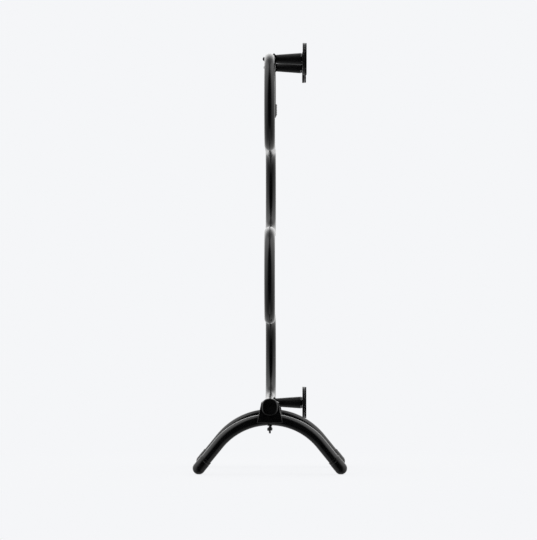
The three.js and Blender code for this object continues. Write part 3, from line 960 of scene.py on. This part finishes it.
for kept in [f"{foot}_threaded_insert" for foot in FOOT_PLACES] + [f"{s}_hex_nut" for s in STANDOFFS]:
    node = NODES[kept]
    node.data.materials.clear()
    node.data.materials.append(MATERIALS[NODE_SLOTS[kept]])

# ------------------------------------------------------------------ stage, light, camera

PAPER = (0.913, 0.921, 0.939)
FLOOR_RADIUS = 2.6
FLOOR_GLOW = 0.89
FLOOR_SHADE = 0.1
FLOOR_FADE_START = 0.35
FLOOR_FADE_STOP = 1.0
CAMERA_LENS = 243.6
CAMERA_PLACE = (0.047, -8.705, 0.468)
CAMERA_AIM = (-0.0042, 0, 0.4776)
SIDE_GLOW = 1.25
SIDE_GLOW_RISE = 1.1
SIDE_EDGE = (0.43, 0.95)
SIDE_LEAN = 0.05
MIDDLE_GLOW = 0.6
MIDDLE_EDGE = (-0.6, 0.1)
BACK_GLOW = 2.1
BACK_EDGE = (0.45, 0.95)
BACK_FOOT = (-0.4, 0.6)


def floor():
    """A pale round floor: it takes a faint soft shadow near the feet and fades to plain paper."""
    bpy.ops.mesh.primitive_circle_add(vertices=128, radius=FLOOR_RADIUS, fill_type="NGON")
    made = bpy.context.object
    made.name = "studio_floor"
    s = Shader("studio_floor")
    nodes = s.tree.nodes
    nodes.remove(s.surface)
    paper = s.node("ShaderNodeEmission", Color=(*PAPER, 1))
    lit = s.node("ShaderNodeBsdfDiffuse", Color=(FLOOR_SHADE, FLOOR_SHADE, FLOOR_SHADE, 1))
    glow = s.node("ShaderNodeEmission", Color=(*PAPER, 1), Strength=FLOOR_GLOW)
    near = s.node("ShaderNodeAddShader")
    s.link(lit.outputs[0], near.inputs[0])
    s.link(glow.outputs[0], near.inputs[1])
    distance = s.node("ShaderNodeVectorMath")
    distance.operation = "LENGTH"
    s.link(s.place, distance.inputs[0])
    fade = s.spread(distance.outputs["Value"], 0, 1, start=FLOOR_FADE_START, stop=FLOOR_FADE_STOP)
    mixed = s.node("ShaderNodeMixShader")
    s.link(fade, mixed.inputs["Fac"])
    s.link(near.outputs[0], mixed.inputs[1])
    s.link(paper.outputs[0], mixed.inputs[2])
    s.link(mixed.outputs[0], s.output.inputs["Surface"])
    made.data.materials.append(s.material)
    made.visible_glossy = False


def world():
    """Plain paper behind the object, and for its reflections a soft tent round it.

    The tent's two sides are bright, the more so higher up. The strip between them is dark
    towards the camera, dim overhead and bright behind the object.
    """
    sky = bpy.data.worlds.new("studio")
    bpy.context.scene.world = sky
    sky.use_nodes = True
    tree = sky.node_tree
    tree.nodes.clear()

    def maths(operation, first, second=None):
        made = tree.nodes.new("ShaderNodeMath")
        made.operation = operation
        for socket, value in zip(made.inputs, (first, second)):
            if isinstance(value, (int, float)):
                socket.default_value = value
            elif value is not None:
                tree.links.new(value, socket)
        return made.outputs["Value"]

    def rise(value, start, end, height):
        """A smooth climb from zero at start to height at end."""
        made = tree.nodes.new("ShaderNodeMapRange")
        made.interpolation_type = "SMOOTHSTEP"
        made.inputs["From Min"].default_value = start
        made.inputs["From Max"].default_value = end
        made.inputs["To Max"].default_value = height
        tree.links.new(value, made.inputs["Value"])
        return made.outputs["Result"]

    where = tree.nodes.new("ShaderNodeTexCoord")
    split = tree.nodes.new("ShaderNodeSeparateXYZ")
    tree.links.new(where.outputs["Generated"], split.inputs["Vector"])
    x, y, z = split.outputs
    across = maths("ABSOLUTE", x)
    level = maths("ADD", maths("MULTIPLY", x, x), maths("MULTIPLY", y, y))
    spread = maths("SQRT", maths("ADD", level, maths("MULTIPLY", maths("MULTIPLY", z, z), SIDE_LEAN)))
    share = rise(maths("DIVIDE", across, spread), *SIDE_EDGE, 1)
    sides = maths("ADD", maths("MULTIPLY", z, SIDE_GLOW_RISE), SIDE_GLOW)
    back = maths("MULTIPLY", rise(y, *BACK_EDGE, BACK_GLOW), rise(z, *BACK_FOOT, 1))
    strip = maths("ADD", rise(y, *MIDDLE_EDGE, MIDDLE_GLOW), back)
    strip_share = maths("SUBTRACT", 1, share)
    total = maths("ADD", maths("MULTIPLY", sides, share), maths("MULTIPLY", strip, strip_share))

    tent = tree.nodes.new("ShaderNodeBackground")
    tree.links.new(total, tent.inputs["Strength"])
    paper = tree.nodes.new("ShaderNodeBackground")
    paper.inputs["Color"].default_value = (*PAPER, 1)
    sight = tree.nodes.new("ShaderNodeLightPath")
    mix = tree.nodes.new("ShaderNodeMixShader")
    output = tree.nodes.new("ShaderNodeOutputWorld")
    tree.links.new(sight.outputs["Is Camera Ray"], mix.inputs["Fac"])
    tree.links.new(tent.outputs[0], mix.inputs[1])
    tree.links.new(paper.outputs[0], mix.inputs[2])
    tree.links.new(mix.outputs[0], output.inputs["Surface"])


def softbox(name, place, aim, width, height, watts):
    """A rectangle of light that reflections don't show."""
    data = bpy.data.lights.new(name, "AREA")
    data.shape = "RECTANGLE"
    data.size = width
    data.size_y = height
    data.energy = watts
    made = bpy.data.objects.new(name, data)
    made.location = place
    made.rotation_euler = (Vector(aim) - Vector(place)).to_track_quat("-Z", "Y").to_euler()
    made.visible_camera = False
    made.visible_glossy = False
    bpy.context.scene.collection.objects.link(made)


def camera():
    """Level with the middle of the rail and end-on to it, from far off with a long lens."""
    data = bpy.data.cameras.new("camera")
    data.lens = CAMERA_LENS
    data.sensor_width = 36
    data.clip_end = 50
    made = bpy.data.objects.new("camera", data)
    made.location = CAMERA_PLACE
    ahead = Vector(CAMERA_AIM) - Vector(CAMERA_PLACE)
    made.rotation_euler = ahead.to_track_quat("-Z", "Y").to_euler()
    bpy.context.scene.collection.objects.link(made)
    bpy.context.scene.camera = made


floor()
world()
softbox("overhead", place=(0, 0.6, 3.0), aim=(0, 0, 0.5), width=2.4, height=2.4, watts=12)
camera()
bpy.context.scene.view_settings.view_transform = "Standard"
